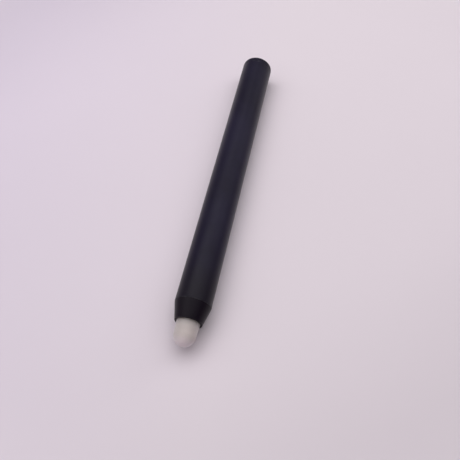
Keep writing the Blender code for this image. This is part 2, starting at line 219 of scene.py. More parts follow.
def lathe(name, loop, segs=96, threads=None, sharp=38.0):
    bm = bmesh.new()
    lathe_into(bm, loop, segs, skip=set(threads or ()))
    for k, args in (threads or {}).items():
        (sa, ra), (sb, _) = loop[k], loop[(k + 1) % len(loop)]
        thread_into(bm, min(sa, sb), max(sa, sb), ra, *args, segs)
    return finish_mesh(name, bm, sharp)


def tube_into(bm, points, radius, sides=12, round_ends=True):
    """A round wire along row-frame points, with domed ends. The radius is in millimetres."""
    radius *= MM
    pts = [Vector(p) for p in points]
    tangents = []
    for i in range(len(pts)):
        a, b = pts[max(0, i - 1)], pts[min(len(pts) - 1, i + 1)]
        tangents.append((b - a).normalized())
    up = Vector((0, 0, 1)) if abs(tangents[0].z) < 0.9 else Vector((1, 0, 0))
    u = (up - tangents[0] * up.dot(tangents[0])).normalized()
    rings = []

    def ring(centre, t, u, r):
        w = t.cross(u)
        return [
            bm.verts.new(centre + (u * cos(tau * k / sides) + w * sin(tau * k / sides)) * r)
            for k in range(sides)
        ]

    frames = []
    for i, p in enumerate(pts):
        t = tangents[i]
        u = (u - t * u.dot(t)).normalized()
        frames.append((p, t, u.copy()))
    if round_ends:
        p, t, q = frames[0]
        for a in (20, 50, 72):
            rings.append(ring(p - t * radius * cos(radians(a)) * 0.8, t, q, radius * sin(radians(a))))
    for p, t, q in frames:
        rings.append(ring(p, t, q, radius))
    if round_ends:
        p, t, q = frames[-1]
        for a in (72, 50, 20):
            rings.append(ring(p + t * radius * cos(radians(a)) * 0.8, t, q, radius * sin(radians(a))))
    for a, b in zip(rings, rings[1:]):
        for k in range(sides):
            j = (k + 1) % sides
            bm.faces.new((a[k], a[j], b[j], b[k]))
    bm.faces.new(rings[0])
    bm.faces.new(rings[-1])


def box_into(bm, x, s, z, bevel=0.0, segments=2):
    made = bmesh.ops.create_cube(bm, size=1.0)
    verts = made["verts"]
    size = ((x[1] - x[0]) * MM, (s[1] - s[0]) * MM, (z[1] - z[0]) * MM)
    mid = to_row((x[0] + x[1]) / 2, (s[0] + s[1]) / 2, (z[0] + z[1]) / 2)
    bmesh.ops.transform(bm, verts=verts, matrix=Matrix.Translation(mid) @ Matrix.Diagonal((*size, 1)))
    if bevel:
        edges = list({e for v in verts for e in v.link_edges})
        bmesh.ops.bevel(
            bm, geom=edges, offset=bevel * MM, segments=segments, profile=0.5, affect="EDGES"
        )


def box(name, x, s, z, bevel=0.05, segments=2):
    bm = bmesh.new()
    box_into(bm, x, s, z, bevel, segments)
    return finish_mesh(name, bm, 50)


def loft_into(bm, rings):
    """Bridges closed rings of row-frame points and caps the two ends."""
    made = [[bm.verts.new(p) for p in ring] for ring in rings]
    for a, b in zip(made, made[1:]):
        for k in range(len(a)):
            j = (k + 1) % len(a)
            bm.faces.new((a[k], a[j], b[j], b[k]))
    bm.faces.new(made[0])
    bm.faces.new(made[-1])


def prism_into(bm, outline, s0, s1, chamfer=0.0):
    """An (x, z) outline drawn out along the pen."""
    loft_into(bm, [[to_row(x, s0, z) for x, z in outline], [to_row(x, s1, z) for x, z in outline]])


def arc(r, a0, a1, steps, centre=(0.0, 0.0)):
    return [
        (centre[0] + r * cos(radians(a0 + (a1 - a0) * k / steps)),
         centre[1] + r * sin(radians(a0 + (a1 - a0) * k / steps)))
        for k in range(steps + 1)
    ]


def apply_boolean(obj, cutter, operation="DIFFERENCE"):
    mod = obj.modifiers.new("cut", "BOOLEAN")
    mod.operation, mod.object, mod.solver = operation, cutter, "EXACT"
    bpy.context.view_layer.update()
    keep = obj.modifiers.get("weighted_normals")
    if keep:
        obj.modifiers.remove(keep)
    dg = bpy.context.evaluated_depsgraph_get()
    mesh = bpy.data.meshes.new_from_object(obj.evaluated_get(dg))
    obj.modifiers.clear()
    old = obj.data
    obj.data = mesh
    bpy.data.meshes.remove(old)
    bpy.data.objects.remove(cutter, do_unlink=True)
    mesh.shade_smooth()
    mesh.set_sharp_from_angle(angle=radians(38))
    mod = obj.modifiers.new("weighted_normals", "WEIGHTED_NORMAL")
    mod.keep_sharp, mod.weight = True, 60


# ================================================================ material tools
class Mat:
    """A node material, built step by step."""

    def __init__(self, name, colour, roughness, metallic=0.0, **sockets):
        self.mat = bpy.data.materials.new(name)
        self.mat.use_nodes = True
        self.tree = self.mat.node_tree
        self.shader = self.tree.nodes["Principled BSDF"]
        self.set("Base Color", (*colour, 1.0))
        self.set("Roughness", roughness)
        self.set("Metallic", metallic)
        for k, v in sockets.items():
            self.set(k.replace("_", " "), v)
        self.mat.diffuse_color = (*colour, 1.0)
        coords = self.tree.nodes.new("ShaderNodeTexCoord")
        self.coords = coords.outputs["Object"]
        self.height = None

    def set(self, socket, value):
        self.shader.inputs[socket].default_value = value

    def node(self, kind, inputs=None, **props):
        n = self.tree.nodes.new(kind)
        for k, v in props.items():
            setattr(n, k, v)
        for k, v in (inputs or {}).items():
            sock = n.inputs[k]
            if isinstance(v, bpy.types.NodeSocket):
                self.tree.links.new(v, sock)
            else:
                sock.default_value = v
        return n

    def stretched(self, scale, location=(0, 0, 0)):
        return self.node("ShaderNodeMapping", {"Vector": self.coords, "Scale": scale,
                                               "Location": location}).outputs[0]

    def noise(self, scale, detail=3.0, rough=0.55, vector=None, distortion=0.0):
        return self.node(
            "ShaderNodeTexNoise",
            {"Vector": vector or self.coords, "Scale": scale, "Detail": detail,
             "Roughness": rough, "Distortion": distortion},
        ).outputs["Fac"]

    def voronoi(self, scale, feature="F1", vector=None, randomness=1.0):
        return self.node(
            "ShaderNodeTexVoronoi",
            {"Vector": vector or self.coords, "Scale": scale, "Randomness": randomness},
            feature=feature,
        ).outputs["Distance"]

    def math(self, op, a, b=0.0, c=0.0, clamp=False):
        n = self.tree.nodes.new("ShaderNodeMath")
        n.operation, n.use_clamp = op, clamp
        for i, v in enumerate((a, b, c)):
            if isinstance(v, bpy.types.NodeSocket):
                self.tree.links.new(v, n.inputs[i])
            else:
                n.inputs[i].default_value = v
        return n.outputs[0]

    def span(self, value, lo, hi, to_lo=0.0, to_hi=1.0, smooth=False):
        n = self.node(
            "ShaderNodeMapRange",
            {"Value": value, "From Min": lo, "From Max": hi, "To Min": to_lo, "To Max": to_hi},
        )
        n.interpolation_type = "SMOOTHSTEP" if smooth else "LINEAR"
        n.clamp = True
        return n.outputs["Result"]

    def axes(self):
        """(x, s, z) in metres from the axis and the apex."""
        parts = self.node("ShaderNodeSeparateXYZ", {"Vector": self.coords}).outputs
        return parts[0], self.math("SUBTRACT", parts[1], APEX_Y), self.math("SUBTRACT", parts[2], AXIS_Z)

    def radius(self):
        x, _, z = self.axes()
        return self.math("SQRT", self.math("ADD", self.math("MULTIPLY", x, x), self.math("MULTIPLY", z, z)))

    def mix(self, fac, a, b):
        n = self.tree.nodes.new("ShaderNodeMix")
        n.data_type = "RGBA"
        for sock, v in ((n.inputs[0], fac), (n.inputs[6], a), (n.inputs[7], b)):
            if isinstance(v, bpy.types.NodeSocket):
                self.tree.links.new(v, sock)
            elif sock.type == "RGBA":
                sock.default_value = (*v[:3], 1.0)
            else:
                sock.default_value = v
        return n.outputs[2]

    def shade(self, colour, factor):
        """A colour made lighter or darker by a factor that varies over the surface."""
        n = self.tree.nodes.new("ShaderNodeVectorMath")
        n.operation = "SCALE"
        self.tree.links.new(colour, n.inputs[0])
        self.tree.links.new(factor, n.inputs["Scale"])
        return n.outputs[0]

    def link(self, value, socket):
        self.tree.links.new(value, self.shader.inputs[socket])
        return self

    def bump(self, height, distance_mm, strength=1.0):
        b = self.node("ShaderNodeBump", {"Height": height, "Distance": distance_mm * MM,
                                         "Strength": strength})
        if self.height is not None:
            self.tree.links.new(self.height, b.inputs["Normal"])
        self.height = b.outputs["Normal"]
        self.link(self.height, "Normal")
        return self

    def give(self, *objs):
        for o in objs:
            o.data.materials.clear()
            o.data.materials.append(self.mat)
        return self.mat


def anodised(name, low, high, front=None, ends=(), rough=(0.38, 0.50), specular=0.12, sheen=0.20):
    """Matte black anodising over a fine blasted grain, with handling marks and bare edges.

    The grain catches light at a grazing angle, which is the sheen. front is painted shade: the darker,
    less blue colour that the piece fades to over its first millimetres, from s to s, for the dimmer
    light there. ends are (s, r, reach) rings in millimetres round which the colour is worn thin.
    """
    m = Mat(name, high, sum(rough) / 2)
    m.set("Specular IOR Level", specular)
    m.set("Sheen Weight", sheen)
    m.set("Sheen Roughness", 0.38)
    blotch = m.noise(55.0, 3.0, 0.6)
    fine = m.noise(7000.0, 2.0, 0.6)
    handled = m.noise(160.0, 4.0, 0.65, m.stretched((1.0, 0.35, 1.0)), 0.6)
    colour = m.mix(m.span(blotch, 0.35, 0.65), low, high)
    # Painted shade: towards the front the colour fades to a darker, less blue colour, for the dimmer light there.
    if front:
        front_painted_shade, start, end = front
        _, s, _ = m.axes()
        colour = m.mix(m.span(s, start * MM, end * MM, smooth=True), front_painted_shade, colour)
    dust = m.span(m.noise(2300.0, 2.0, 0.5), 0.70, 0.80)
    colour = m.mix(m.math("MULTIPLY", dust, 0.10), colour, (0.18, 0.175, 0.18))
    if ends:
        _, s, _ = m.axes()
        r = m.radius()
        worn = None
        for es, er, reach in ends:
            ds = m.math("SUBTRACT", s, es * MM)
            dr = m.math("SUBTRACT", r, er * MM)
            d = m.math("SQRT", m.math("ADD", m.math("MULTIPLY", ds, ds), m.math("MULTIPLY", dr, dr)))
            near = m.span(d, reach * MM, 0.0, 0.0, 1.0, True)
            worn = near if worn is None else m.math("MAXIMUM", worn, near)
        patchy = m.span(m.noise(900.0, 4.0, 0.6), 0.42, 0.68)
        colour = m.mix(m.math("MULTIPLY", m.math("MULTIPLY", worn, patchy), 0.45), colour, (0.13, 0.13, 0.14))
    m.link(colour, "Base Color")
    m.link(m.math("ADD", m.span(handled, 0.3, 0.7, *rough), m.math("MULTIPLY", m.math("SUBTRACT", fine, 0.5), 0.08)), "Roughness")
    m.bump(fine, 0.012, 0.35)
    m.bump(m.noise(1500.0, 3.0, 0.5), 0.010, 0.2)
    return m


def metal(name, colour, rough, grain=2500.0, stretch=(1, 1, 1), depth=0.006, spread=0.12, tarnish=None):
    m = Mat(name, colour, rough, 1.0)
    fine = m.noise(grain, 3.0, 0.55, m.stretched(stretch))
    m.link(m.span(fine, 0.3, 0.7, rough - spread / 2, rough + spread), "Roughness")
    dark = tuple(c * 0.72 for c in colour) if tarnish is None else tarnish
    m.link(m.mix(m.span(m.noise(420.0, 4.0, 0.6), 0.45, 0.75), colour, dark), "Base Color")
    m.bump(fine, depth, 0.5)
    return m


def moulded(name, colour, rough, grain=5000.0, depth=0.008, specular=0.5):
    m = Mat(name, colour, rough)
    m.set("Specular IOR Level", specular)
    fine = m.noise(grain, 2.0, 0.5)
    m.link(m.mix(m.span(m.noise(240.0, 4.0, 0.6), 0.3, 0.7), tuple(c * 0.86 for c in colour),
                 tuple(min(1.0, c * 1.12) for c in colour)), "Base Color")
    m.link(m.span(m.noise(600.0, 3.0, 0.6), 0.3, 0.7, rough - 0.06, rough + 0.08), "Roughness")
    m.bump(fine, depth, 0.4)
    return m


# ================================================================ camera
camera = bpy.data.objects.new("camera", bpy.data.cameras.new("camera"))
scene.collection.objects.link(camera)
camera.data.sensor_width = 36.0
camera.data.lens = 515.0 / 460.0 * 36.0
camera.data.clip_start, camera.data.clip_end = 0.01, 20.0
look = Vector((-0.111365, 0.525589, -0.843418))
right = Vector((0.978281, 0.207284, 0.0))
up = Vector((-0.174827, 0.825100, 0.537257))
turn = Matrix((right, up, -look)).transposed()
camera.matrix_world = Matrix.Translation(Vector((0.0296103, -0.1319115, 0.1819369))) @ turn.to_4x4()
scene.camera = camera


# ================================================================ outer pieces
OUTER = 128

# Barrel.
THREAD = 1.25
THREAD_REF = CAP_FACE - 3.5
THREAD_END = CAP_FACE - 1.65
SHOULDER = 48.15
SPIGOT_END = NOSE_BACK
FEMALE_MINOR, FEMALE_MAJOR = 5.88, 6.37
MALE_MINOR, MALE_MAJOR = 5.75, 6.24
male_profile = [(-0.375, 0.0), (-0.16, 0.86), (-0.11, 1.0), (0.11, 1.0), (0.16, 0.86), (0.375, 0.0)]
female_profile = [(0.225, 0.0), (0.44, 0.86), (0.49, 1.0), (0.76, 1.0), (0.81, 0.86), (1.025, 0.0)]

barrel_loop = rounded([
    (BARREL_FRONT, BODY_R, 0.08), (BARREL_REAR, BODY_R, 0.12),
    (BARREL_REAR, 6.50, 0.10), (THREAD_END + 0.10, 6.50),
    (THREAD_END, FEMALE_MAJOR), (THREAD_END - 3 * THREAD, FEMALE_MAJOR),
    (THREAD_END - 3 * THREAD - 0.2, FEMALE_MAJOR), (THREAD_END - 3 * THREAD - 0.2, 5.45),
    (SHOULDER, 5.45), (SHOULDER, 5.80), (SPIGOT_END + 0.45, 5.80), (SPIGOT_END + 0.45, 6.30),
    (BARREL_FRONT, 6.30, 0.05),
])
barrel = lathe(
    "barrel_shell", barrel_loop, OUTER,
    {barrel_loop.index((THREAD_END, FEMALE_MAJOR)):
     (FEMALE_MINOR - FEMALE_MAJOR, female_profile, THREAD, THREAD_REF)},
)

# Nose cone.
nose_loop = rounded([
    (NOSE_FRONT, 4.62, 0.06), (NOSE_FRONT, 5.20, 0.16), (CONE_BASE - 0.02, BODY_R - 0.02, 0.08),
    (CONE_BASE, BODY_R - 0.12), (CONE_BASE, 6.20), (NOSE_BACK - 0.15, 6.20), (NOSE_BACK, 6.05),
    (NOSE_BACK, 5.10), (10.55, 5.10), (10.55, 4.50, 0.08), (NOSE_FRONT + 0.12, 4.50, 0.05),
])
nose = lathe("nose_shell", densify(nose_loop, 1.2), OUTER)

# Diffusing tip: a bullet that blends from its shank into the round end.
shank_r, dome_r, dome_len = 4.40, 4.15, 4.4
tip_outer = []
for k in range(29):
    a = pi / 2 * k / 28
    tip_outer.append((dome_len - dome_len * cos(a), dome_r * sin(a)))
tip_outer[0] = (0.0, 0.0)
blend = []
for k in range(1, 13):
    t = k / 12
    s = dome_len + (9.2 - dome_len) * t
    blend.append((s, dome_r + (shank_r - dome_r) * (t ** 1.25)))
well_r, well_end = 2.80, 4.70
well = [
    (well_end + well_r - well_r * sin(a), well_r * cos(a))
    for a in (pi / 2 * k / 16 for k in range(17))
]
well[-1] = (well_end, 0.0)
flange = rounded([
    (10.60, shank_r), (10.60, 4.94, 0.12), (11.85, 4.94, 0.12), (11.85, well_r, 0.15),
], closed=False)[0:-1]
well_side = [(11.2 + (well[0][0] - 11.2) * k / 4, well_r) for k in range(4)]
tip = lathe("milky_tip", tip_outer + blend + flange + [(11.85, well_r + 0.12), (11.73, well_r)]
            + well_side + well, 112)

# Tail cap.
GROOVE = (CAP_FACE - 1.45, CAP_FACE - 0.25)
POCKET_R, POCKET_END = 4.40, CAP_FACE - 0.10
cap_head = rounded([
    (GROOVE[1], 5.85, 0.05), (CAP_FACE, 5.85), (CAP_FACE, BODY_R, 0.12),
    (LENGTH, BODY_R, 0.42), (LENGTH, 0.0),
], step=9.0, closed=False)
cap_loop = (
    [(CAP_FRONT, MALE_MINOR - 0.15), (CAP_FRONT + 0.15, MALE_MINOR), (GROOVE[0], MALE_MINOR)]
    + [(GROOVE[0] + 0.0005, 5.70), (GROOVE[0], 5.30), (GROOVE[1], 5.30)]
    + cap_head
    + [(POCKET_END, 0.0), (POCKET_END, POCKET_R), (CAP_FRONT, POCKET_R)]
)
cap = lathe(
    "cap_shell", cap_loop, OUTER,
    {1: (MALE_MAJOR - MALE_MINOR, male_profile, THREAD, THREAD_REF)},
)


def slot_ring(s, grow):
    half, r = 4.4, 0.65 + grow
    out = []
    for side, start in ((1, -90), (-1, 90)):
        for k in range(13):
            a = radians(start + 15 * k)
            out.append(to_row(side * half + r * cos(a), s, r * sin(a)))
    return out


bm = bmesh.new()
loft_into(bm, [
    slot_ring(LENGTH - 0.90, -0.10), slot_ring(LENGTH - 0.84, -0.03), slot_ring(LENGTH - 0.78, 0.0),
    slot_ring(LENGTH - 0.12, 0.0), slot_ring(LENGTH - 0.06, 0.02), slot_ring(LENGTH - 0.02, 0.06),
    slot_ring(LENGTH + 0.30, 0.40),
])
slot_cutter = finish_mesh("slot_cutter", bm, weighted=False)
apply_boolean(cap, slot_cutter)

for piece, body, node, slot in (
    (barrel, "root", "barrel", "anodised_shell"),
    (nose, "root", "nose_cone", "anodised_shell"),
    (tip, "tip", "diffuser_tip", "milky_diffuser"),
    (cap, "cap", "tail_cap", "anodised_cap"),
):
    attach(piece, body)
    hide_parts(node)

# Outer finishes.
black_low, black_high = (0.0078, 0.0055, 0.0170), (0.0118, 0.0088, 0.0260)
nose_low, nose_high = (0.0030, 0.0011, 0.0042), (0.0046, 0.0018, 0.0064)
# The barrel's front fades to a darker, less blue colour: painted shade for the dimmer light there.
anodised(
    "barrel_anodising", black_low, black_high, front=((0.0078, 0.0054, 0.0118), 18.0, 42.0),
    ends=((BARREL_FRONT, BODY_R, 0.22), (BARREL_REAR, BODY_R, 0.25)),
).give(barrel)
anodised(
    "nose_anodising", nose_low, nose_high, sheen=0.12,
    ends=((NOSE_FRONT, 5.20, 0.28), (CONE_BASE, BODY_R, 0.18)),
).give(nose)
anodised(
    "cap_anodising", black_low, black_high,
    ends=((LENGTH, BODY_R - 0.1, 0.42), (CAP_FACE, BODY_R, 0.22)),
).give(cap)

# The tip is painted lighter towards its apex, which is painted light, and darker towards the nose:
# that is painted shade where the nose's rim shades it, and partly the dark lens behind the thin wall of the well
# showing through.
milky = Mat("milky_plastic", (0.52, 0.46, 0.46), 0.40)
milky.set("Subsurface Weight", 1.0)
milky.set("Subsurface Radius", (1.0, 0.93, 0.90))
milky.set("Subsurface Scale", 0.006)
milky.set("Specular IOR Level", 0.25)
milky.set("Sheen Weight", 0.3)
milky.set("Sheen Roughness", 0.5)
_, along, _ = milky.axes()
# Painted light towards the apex, then painted shade towards the nose, partly the lens showing through.
tone = milky.mix(milky.span(along, 0.2 * MM, 3.6 * MM, smooth=True), (0.720, 0.638, 0.668), (0.484, 0.425, 0.416))
tone = milky.mix(milky.span(along, 6.5 * MM, 9.3 * MM, smooth=True), tone, (0.300, 0.262, 0.258))
milky.link(milky.shade(tone, milky.span(milky.noise(260.0, 3.0, 0.55), 0.3, 0.7, 0.95, 1.05)), "Base Color")
milky.link(milky.span(milky.noise(900.0, 3.0, 0.6), 0.3, 0.7, 0.34, 0.48), "Roughness")
milky.bump(milky.noise(2600.0, 2.0, 0.5), 0.010, 0.25)
milky.give(tip)


# ================================================================ more mesh tools
def rrect(x0, x1, s0, s1, r, inset=0.0, steps=4):
    """A rectangle with rounded corners in the (x, s) plane."""
    x0, x1, s0, s1, r = x0 + inset, x1 - inset, s0 + inset, s1 - inset, max(r - inset, 0.01)
    out = []
    for cx, cs, a0 in ((x1 - r, s0 + r, -90), (x1 - r, s1 - r, 0), (x0 + r, s1 - r, 90), (x0 + r, s0 + r, 180)):
        for k in range(steps + 1):
            a = radians(a0 + 90 * k / steps)
            out.append((cx + r * cos(a), cs + r * sin(a)))
    return out


def plate_into(bm, outline, z0, z1, edge=0.0):
    """A flat plate. outline(inset) gives its (x, s) points."""
    if edge <= 0:
        levels = ((z0, 0.0), (z1, 0.0))
    else:
        levels = ((z0, edge), (z0 + edge * 0.3, edge * 0.3), (z0 + edge, 0.0),
                  (z1 - edge, 0.0), (z1 - edge * 0.3, edge * 0.3), (z1, edge))
    loft_into(bm, [[to_row(x, s, z) for x, s in outline(i)] for z, i in levels])


def pad_into(bm, x0, x1, s0, s1, z0, z1, r=0.12, edge=0.0):
    plate_into(bm, lambda i: rrect(x0, x1, s0, s1, r, i), z0, z1, edge)


def strip_into(bm, points, width, z0, z1):
    """A flat track of even width along (x, s) points."""
    left, right_side = [], []
    pts = [Vector(p) for p in points]
    for i, p in enumerate(pts):
        a = (p - pts[i - 1]).normalized() if i else None
        b = (pts[i + 1] - p).normalized() if i < len(pts) - 1 else None
        a, b = a or b, b or a
        n0, n1 = Vector((-a.y, a.x)), Vector((-b.y, b.x))
        m = (n0 + n1).normalized()
        w = width / 2 / max(0.5, m.dot(n0))
        left.append(p + m * w)
        right_side.append(p - m * w)
    ring = left + right_side[::-1]
    loft_into(bm, [[to_row(q.x, q.y, z0) for q in ring], [to_row(q.x, q.y, z1) for q in ring]])


def fillet_into(bm, x0, x1, s_face, toward, z0, height, reach):
    """Solder drawn up the end of a chip, hollow between board and face."""
    rings = []
    for x, k in ((x0, 0.55), (x0 + 0.10, 0.9), (x0 + 0.22, 1.0), (x1 - 0.22, 1.0), (x1 - 0.10, 0.9), (x1, 0.55)):
        ring = [(s_face, z0)]
        for j in range(7):
            t = j / 6
            ring.append((s_face + toward * reach * k * (1 - t), z0 + 0.02 + height * k * (t ** 2.1)))
        rings.append([to_row(x, s, z) for s, z in ring])
    loft_into(bm, rings)


def soften(obj, width, angle=32.0, segments=2, shortest=0.012):
    """Small rounded edges on a piece cut with booleans."""
    weld = obj.modifiers.new("short_edges", "WELD")
    weld.merge_threshold = shortest * MM
    mod = obj.modifiers.new("soft_edges", "BEVEL")
    mod.limit_method, mod.angle_limit = "ANGLE", radians(angle)
    mod.width, mod.segments, mod.profile = width * MM, segments, 0.5
    mod.use_clamp_overlap = True
    mod.harden_normals = False
    weld = obj.modifiers.new("slivers", "WELD")
    weld.merge_threshold = 0.004 * MM
    keep = obj.modifiers.get("weighted_normals")
    if keep:
        obj.modifiers.remove(keep)
    mod = obj.modifiers.new("weighted_normals", "WEIGHTED_NORMAL")
    mod.keep_sharp, mod.weight = True, 60
    return obj


def cutter_box(x, s, z):
    bm = bmesh.new()
    box_into(bm, x, s, z)
    return finish_mesh("cutter", bm, weighted=False)


def cutter_prism(outline, s0, s1):
    bm = bmesh.new()
    prism_into(bm, outline, s0, s1)
    return finish_mesh("cutter", bm, weighted=False)


def new_piece(name, body, node, fill, sharp=38.0):
    """Makes a mesh with fill(bm), puts it on its body and hides the frame part it stands for."""
    bm = bmesh.new()
    fill(bm)
    return claim(finish_mesh(name, bm, sharp), body, node)


def claim(obj, body, node):
    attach(obj, body)
    if node:
        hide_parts(node)
    return obj


def helix(turns, per_turn, s_of, r_of, start=0.0):
    n = int(turns * per_turn)
    return [ring_point(s_of(k / n), r_of(k / n), start + tau * turns * k / n) for k in range(n + 1)]


def closed_ends(turns, s0, s1, wire_d):
    """Distance along a spring whose first and last turns lie closed."""
    closed, rise = 1.0 / turns, wire_d * 1.15

    def s_of(t):
        if t < closed:
            return s0 + rise * t / closed
        if t > 1 - closed:
            return s1 - rise * (1 - t) / closed
        return s0 + rise + (s1 - s0 - 2 * rise) * (t - closed) / (1 - 2 * closed)

    return s_of


# ================================================================ inner finishes
black_plastic = moulded("black_moulded_plastic", (0.020, 0.020, 0.022), 0.46)
grey_plastic = moulded("grey_moulded_plastic", (0.190, 0.195, 0.205), 0.50)
housing_plastic = moulded("switch_housing_plastic", (0.016, 0.016, 0.017), 0.58, 4000.0)
compound = moulded("moulding_compound", (0.018, 0.018, 0.019), 0.52, 9000.0, 0.010)
tan_ceramic = moulded("tan_ceramic", (0.40, 0.27, 0.15), 0.42, 8000.0, 0.006)
alumina = moulded("white_alumina", (0.62, 0.61, 0.58), 0.55, 9000.0, 0.006)
rubber = moulded("nitrile_rubber", (0.014, 0.014, 0.015), 0.62, 3500.0, 0.008, 0.35)
drawn_wire = metal("drawn_spring_wire", (0.56, 0.56, 0.58), 0.24, 4200.0, (1, 1, 1), 0.004, 0.10)
plated_steel = metal("nickel_plated_steel", (0.60, 0.59, 0.57), 0.26, 1800.0, (1, 1, 1), 0.006, 0.12)
stainless = metal("stainless_sheet", (0.55, 0.55, 0.56), 0.34, 14000.0, (0.05, 1, 1), 0.0015, 0.10)
gold_brass = metal("plated_brass", (0.70, 0.52, 0.25), 0.27, 2200.0, (1, 1, 1), 0.005, 0.12)
tin = metal("tinned_copper", (0.62, 0.62, 0.63), 0.30, 3000.0, (1, 1, 1), 0.006, 0.16)
solder = metal("solder", (0.58, 0.58, 0.60), 0.22, 1400.0, (1, 1, 1), 0.010, 0.16)
gold = metal("bond_gold", (0.90, 0.66, 0.28), 0.20, 3000.0, (1, 1, 1), 0.002, 0.06)

# Solder resist over glass cloth, with the laminate bare on the cut edges.
mask = Mat("solder_resist", (0.012, 0.105, 0.045), 0.30)
mx, ms, _ = mask.axes()
weave = mask.math(
    "MULTIPLY",
    mask.math("SINE", mask.math("MULTIPLY", mx, tau / (0.46 * MM))),
    mask.math("SINE", mask.math("MULTIPLY", ms, tau / (0.40 * MM))),
)
green = mask.mix(mask.span(weave, -1.0, 1.0), (0.010, 0.088, 0.038), (0.015, 0.118, 0.052))
green = mask.shade(green, mask.span(mask.noise(700.0, 3.0, 0.5), 0.3, 0.7, 0.92, 1.06))
_, _, up_face = mask.node(
    "ShaderNodeSeparateXYZ", {"Vector": mask.node("ShaderNodeTexCoord").outputs["Normal"]}
).outputs
flat_face = mask.span(mask.math("ABSOLUTE", up_face), 0.55, 0.85)
edge_tone = mask.shade(mask.mix(mask.span(mask.noise(4200.0, 2.0, 0.6, mask.stretched((1, 1, 6))), 0.35, 0.65),
                                (0.30, 0.25, 0.11), (0.42, 0.36, 0.18)), mask.span(weave, -1.0, 1.0, 0.96, 1.04))
mask.link(mask.mix(flat_face, edge_tone, green), "Base Color")
mask.link(mask.span(flat_face, 0.0, 1.0, 0.75, 0.26), "Roughness")
mask.bump(weave, 0.004, 0.4)
trace_mask = Mat("resist_over_copper", (0.020, 0.150, 0.060), 0.26)
trace_mask.link(trace_mask.mix(trace_mask.span(trace_mask.noise(900.0, 3.0, 0.5), 0.3, 0.7),
                               (0.022, 0.150, 0.058), (0.030, 0.185, 0.074)), "Base Color")
trace_mask.bump(trace_mask.noise(3000.0, 2.0, 0.5), 0.003, 0.3)

# Clear epoxy. The faint flow lines of the casting are in the bump.
epoxy = Mat("clear_epoxy", (0.93, 0.95, 0.98), 0.04)
epoxy.set("Transmission Weight", 1.0)
epoxy.set("IOR", 1.54)
epoxy.link(epoxy.span(epoxy.noise(500.0, 3.0, 0.5), 0.3, 0.7, 0.02, 0.06), "Roughness")
epoxy.bump(epoxy.noise(420.0, 2.0, 0.4), 0.010, 0.15)


def jacket_finish(name, s):
    """Metallised film in plain colours: dark slate, with a pale ring at the positive end."""
    m = Mat(name, (0.09, 0.12, 0.18), 0.34, 0.55)
    _, along, _ = m.axes()
    d = m.math("SUBTRACT", along, s * MM)
    grain = m.noise(1600.0, 3.0, 0.55, m.stretched((1.0, 0.05, 1.0)))
    tone = m.mix(m.span(grain, 0.3, 0.7), (0.070, 0.095, 0.150), (0.092, 0.122, 0.186))
    ring = m.math("MULTIPLY", m.span(d, 4.00 * MM, 4.06 * MM), m.span(d, 6.00 * MM, 5.94 * MM))
    tone = m.mix(ring, tone, (0.52, 0.53, 0.55))
    tail = m.math("MULTIPLY", m.span(d, 38.50 * MM, 38.56 * MM), m.span(d, 39.10 * MM, 39.04 * MM))
    tone = m.mix(tail, tone, (0.52, 0.53, 0.55))
    tone = m.shade(tone, m.span(m.noise(300.0, 4.0, 0.6), 0.3, 0.7, 0.93, 1.06))
    m.link(tone, "Base Color")
    m.link(m.span(m.noise(800.0, 3.0, 0.6), 0.3, 0.7, 0.28, 0.42), "Roughness")
    m.bump(grain, 0.004, 0.4)
    m.bump(m.noise(260.0, 3.0, 0.5), 0.020, 0.25)
    return m


# ================================================================ seal and springs
GROOVE_MID = (GROOVE[0] + GROOVE[1]) / 2


def torus(bm):
    loop = [(GROOVE_MID + 0.52 * cos(tau * k / 24), 5.88 + 0.52 * sin(tau * k / 24)) for k in range(24)]
    lathe_into(bm, loop, 128)


rubber.give(new_piece("o_ring", "cap_seal", "tail_o_ring", torus, 80))

SPRING_FRONT, SPRING_BACK, TIP_WIRE = at("tip_spring", 0), at("tip_spring", 1), 0.20
tip_spring = new_piece(
    "tip_spring_wire", "root", "tip_spring",
    lambda bm: tube_into(
        bm,
        helix(6.5, 40, closed_ends(6.5, SPRING_FRONT + TIP_WIRE, SPRING_BACK - TIP_WIRE, 2 * TIP_WIRE),
              lambda t: 3.55, radians(200)),
        TIP_WIRE - 0.002, 12),
    60,
)
TAIL_WIRE = 0.28
tail_spring = new_piece(
    "tail_spring_wire", "cap", "tail_spring",
    lambda bm: tube_into(
        bm,
        helix(5.5, 40, closed_ends(5.5, at("tail_spring", 0) + TAIL_WIRE, at("tail_spring", 1) - TAIL_WIRE,
                                   2 * TAIL_WIRE),
              lambda t: 2.0 + 2.0 * min(1.0, max(0.0, (t - 0.1) / 0.7))),
        TAIL_WIRE - 0.003, 14),
    60,
)
drawn_wire.give(tip_spring, tail_spring)

# ================================================================ plunger
PAD_BACK = at("tip_plunger", 1)
plunger = lathe("plunger_moulding", rounded([(11.90, 3.10), (11.90, 4.85), (13.10, 4.85), (13.10, 3.10)]), 96)
apply_boolean(plunger, cutter_box((-1.2, 1.2), (12.4, PAD_BACK - 0.1), (3.97, 4.64)), "UNION")
apply_boolean(plunger, cutter_box((-1.05, 1.05), (PAD_BACK - 1.2, PAD_BACK), (0.90, 4.45)), "UNION")
soften(plunger, 0.09)
black_plastic.give(claim(plunger, "tip", "tip_plunger"))

